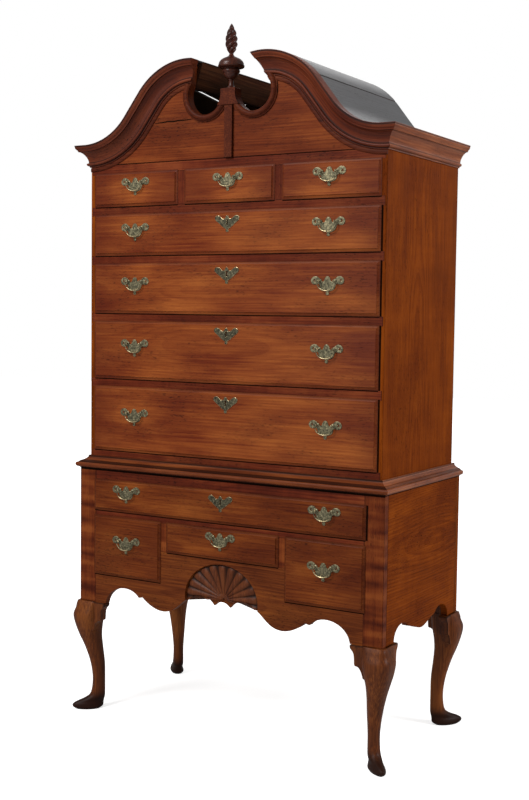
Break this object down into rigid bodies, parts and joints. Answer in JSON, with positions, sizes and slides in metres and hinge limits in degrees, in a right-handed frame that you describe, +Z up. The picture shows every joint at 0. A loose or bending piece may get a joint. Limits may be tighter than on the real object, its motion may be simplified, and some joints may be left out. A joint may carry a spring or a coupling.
{
  "type": "bonnet-top highboy",
  "caption": "Tall chest of lipped drawers in two cases: a scrolled bonnet with a flame finial above, cabriole legs, a scalloped apron and a carved fan below, with bat-wing brass pulls.",
  "frame": {"origin": "on the floor, midway between the four feet", "axes": "+Z up, -Y out of the drawer fronts, +X to the right as one faces the drawers"},
  "size_m": [1.08, 0.558, 2.046],
  "materials": {
    "cherry": "old rubbed shellac, satin",
    "pine": "bare, planed",
    "dark_roof": "dark and bare, weathered",
    "brass": "aged, rubbed bright at the edges"
  },
  "bodies": {
    "lower_case": {"lower_sides": "cherry", "lower_back": "pine", "front_apron": "cherry", "lower_front_frame": "cherry", "lower_drawer_runners": "pine", "waist_moulding": "cherry", "front_left_leg": "cherry", "front_right_leg": "cherry", "back_right_leg": "cherry", "back_left_leg": "cherry"},
    "upper_case": {"upper_side_left": "cherry", "upper_side_right": "cherry", "upper_bottom_and_top": "pine", "upper_back": "pine", "upper_front_rails": "cherry", "upper_drawer_runners": "pine", "scroll_board": "cherry", "bonnet_roof": "dark_roof", "crown_moulding": "cherry", "scroll_rings": "cherry", "finial_plinth": "cherry", "finial": "cherry"},
    "small_drawer_left": {"small_drawer_left": "cherry", "small_drawer_left_brasses": "brass"},
    "small_drawer_left_bail": {"small_drawer_left_bail": "brass"},
    "small_drawer_centre": {"small_drawer_centre": "cherry", "small_drawer_centre_brasses": "brass"},
    "small_drawer_centre_bail": {"small_drawer_centre_bail": "brass"},
    "small_drawer_right": {"small_drawer_right": "cherry", "small_drawer_right_brasses": "brass"},
    "small_drawer_right_bail": {"small_drawer_right_bail": "brass"},
    "long_drawer_1": {"long_drawer_1": "cherry", "long_drawer_1_brasses": "brass"},
    "long_drawer_1_bail_1": {"long_drawer_1_bail_1": "brass"},
    "long_drawer_1_bail_2": {"long_drawer_1_bail_2": "brass"},
    "long_drawer_2": {"long_drawer_2": "cherry", "long_drawer_2_brasses": "brass"},
    "long_drawer_2_bail_1": {"long_drawer_2_bail_1": "brass"},
    "long_drawer_2_bail_2": {"long_drawer_2_bail_2": "brass"},
    "long_drawer_3": {"long_drawer_3": "cherry", "long_drawer_3_brasses": "brass"},
    "long_drawer_3_bail_1": {"long_drawer_3_bail_1": "brass"},
    "long_drawer_3_bail_2": {"long_drawer_3_bail_2": "brass"},
    "long_drawer_4": {"long_drawer_4": "cherry", "long_drawer_4_brasses": "brass"},
    "long_drawer_4_bail_1": {"long_drawer_4_bail_1": "brass"},
    "long_drawer_4_bail_2": {"long_drawer_4_bail_2": "brass"},
    "lower_long_drawer": {"lower_long_drawer": "cherry", "lower_long_drawer_brasses": "brass"},
    "lower_long_drawer_bail_1": {"lower_long_drawer_bail_1": "brass"},
    "lower_long_drawer_bail_2": {"lower_long_drawer_bail_2": "brass"},
    "lower_left_drawer": {"lower_left_drawer": "cherry", "lower_left_drawer_brasses": "brass"},
    "lower_left_drawer_bail": {"lower_left_drawer_bail": "brass"},
    "lower_centre_drawer": {"lower_centre_drawer": "cherry", "lower_centre_drawer_brasses": "brass"},
    "lower_centre_drawer_bail": {"lower_centre_drawer_bail": "brass"},
    "lower_right_drawer": {"lower_right_drawer": "cherry", "lower_right_drawer_brasses": "brass"},
    "lower_right_drawer_bail": {"lower_right_drawer_bail": "brass"}
  },
  "joints": [
    {"name": "upper_case_lift", "type": "slide", "parent": "lower_case", "child": "upper_case", "axis": [0, 0, 1], "range_m": [0, 0.06]},
    {"name": "small_drawer_left_slide", "type": "slide", "parent": "upper_case", "child": "small_drawer_left", "axis": [0, -1, 0], "range_m": [0, 0.33]},
    {"name": "small_drawer_left_bail_swing", "type": "hinge", "parent": "small_drawer_left", "child": "small_drawer_left_bail", "pos_m": [-0.325, -0.2496, 1.6185], "axis": [-1, 0, 0], "range_deg": [-10, 110]},
    {"name": "small_drawer_centre_slide", "type": "slide", "parent": "upper_case", "child": "small_drawer_centre", "axis": [0, -1, 0], "range_m": [0, 0.33]},
    {"name": "small_drawer_centre_bail_swing", "type": "hinge", "parent": "small_drawer_centre", "child": "small_drawer_centre_bail", "pos_m": [0, -0.2496, 1.6185], "axis": [-1, 0, 0], "range_deg": [-10, 110]},
    {"name": "small_drawer_right_slide", "type": "slide", "parent": "upper_case", "child": "small_drawer_right", "axis": [0, -1, 0], "range_m": [0, 0.33]},
    {"name": "small_drawer_right_bail_swing", "type": "hinge", "parent": "small_drawer_right", "child": "small_drawer_right_bail", "pos_m": [0.325, -0.2496, 1.6185], "axis": [-1, 0, 0], "range_deg": [-10, 110]},
    {"name": "long_drawer_1_slide", "type": "slide", "parent": "upper_case", "child": "long_drawer_1", "axis": [0, -1, 0], "range_m": [0, 0.33]},
    {"name": "long_drawer_1_bail_1_swing", "type": "hinge", "parent": "long_drawer_1", "child": "long_drawer_1_bail_1", "pos_m": [-0.325, -0.2496, 1.484], "axis": [-1, 0, 0], "range_deg": [-10, 110]},
    {"name": "long_drawer_1_bail_2_swing", "type": "hinge", "parent": "long_drawer_1", "child": "long_drawer_1_bail_2", "pos_m": [0.325, -0.2496, 1.484], "axis": [-1, 0, 0], "range_deg": [-10, 110]},
    {"name": "long_drawer_2_slide", "type": "slide", "parent": "upper_case", "child": "long_drawer_2", "axis": [0, -1, 0], "range_m": [0, 0.33]},
    {"name": "long_drawer_2_bail_1_swing", "type": "hinge", "parent": "long_drawer_2", "child": "long_drawer_2_bail_1", "pos_m": [-0.325, -0.2496, 1.325], "axis": [-1, 0, 0], "range_deg": [-10, 110]},
    {"name": "long_drawer_2_bail_2_swing", "type": "hinge", "parent": "long_drawer_2", "child": "long_drawer_2_bail_2", "pos_m": [0.325, -0.2496, 1.325], "axis": [-1, 0, 0], "range_deg": [-10, 110]},
    {"name": "long_drawer_3_slide", "type": "slide", "parent": "upper_case", "child": "long_drawer_3", "axis": [0, -1, 0], "range_m": [0, 0.33]},
    {"name": "long_drawer_3_bail_1_swing", "type": "hinge", "parent": "long_drawer_3", "child": "long_drawer_3_bail_1", "pos_m": [-0.325, -0.2496, 1.1405], "axis": [-1, 0, 0], "range_deg": [-10, 110]},
    {"name": "long_drawer_3_bail_2_swing", "type": "hinge", "parent": "long_drawer_3", "child": "long_drawer_3_bail_2", "pos_m": [0.325, -0.2496, 1.1405], "axis": [-1, 0, 0], "range_deg": [-10, 110]},
    {"name": "long_drawer_4_slide", "type": "slide", "parent": "upper_case", "child": "long_drawer_4", "axis": [0, -1, 0], "range_m": [0, 0.33]},
    {"name": "long_drawer_4_bail_1_swing", "type": "hinge", "parent": "long_drawer_4", "child": "long_drawer_4_bail_1", "pos_m": [-0.325, -0.2496, 0.9325], "axis": [-1, 0, 0], "range_deg": [-10, 110]},
    {"name": "long_drawer_4_bail_2_swing", "type": "hinge", "parent": "long_drawer_4", "child": "long_drawer_4_bail_2", "pos_m": [0.325, -0.2496, 0.9325], "axis": [-1, 0, 0], "range_deg": [-10, 110]},
    {"name": "lower_long_drawer_slide", "type": "slide", "parent": "lower_case", "child": "lower_long_drawer", "axis": [0, -1, 0], "range_m": [0, 0.34]},
    {"name": "lower_long_drawer_bail_1_swing", "type": "hinge", "parent": "lower_long_drawer", "child": "lower_long_drawer_bail_1", "pos_m": [-0.337, -0.2716, 0.7], "axis": [-1, 0, 0], "range_deg": [-10, 110]},
    {"name": "lower_long_drawer_bail_2_swing", "type": "hinge", "parent": "lower_long_drawer", "child": "lower_long_drawer_bail_2", "pos_m": [0.337, -0.2716, 0.7], "axis": [-1, 0, 0], "range_deg": [-10, 110]},
    {"name": "lower_left_drawer_slide", "type": "slide", "parent": "lower_case", "child": "lower_left_drawer", "axis": [0, -1, 0], "range_m": [0, 0.34]},
    {"name": "lower_left_drawer_bail_swing", "type": "hinge", "parent": "lower_left_drawer", "child": "lower_left_drawer_bail", "pos_m": [-0.337, -0.2716, 0.54575], "axis": [-1, 0, 0], "range_deg": [-10, 110]},
    {"name": "lower_centre_drawer_slide", "type": "slide", "parent": "lower_case", "child": "lower_centre_drawer", "axis": [0, -1, 0], "range_m": [0, 0.34]},
    {"name": "lower_centre_drawer_bail_swing", "type": "hinge", "parent": "lower_centre_drawer", "child": "lower_centre_drawer_bail", "pos_m": [0, -0.2716, 0.5922], "axis": [-1, 0, 0], "range_deg": [-10, 110]},
    {"name": "lower_right_drawer_slide", "type": "slide", "parent": "lower_case", "child": "lower_right_drawer", "axis": [0, -1, 0], "range_m": [0, 0.34]},
    {"name": "lower_right_drawer_bail_swing", "type": "hinge", "parent": "lower_right_drawer", "child": "lower_right_drawer_bail", "pos_m": [0.337, -0.2716, 0.54575], "axis": [-1, 0, 0], "range_deg": [-10, 110]}
  ]
}
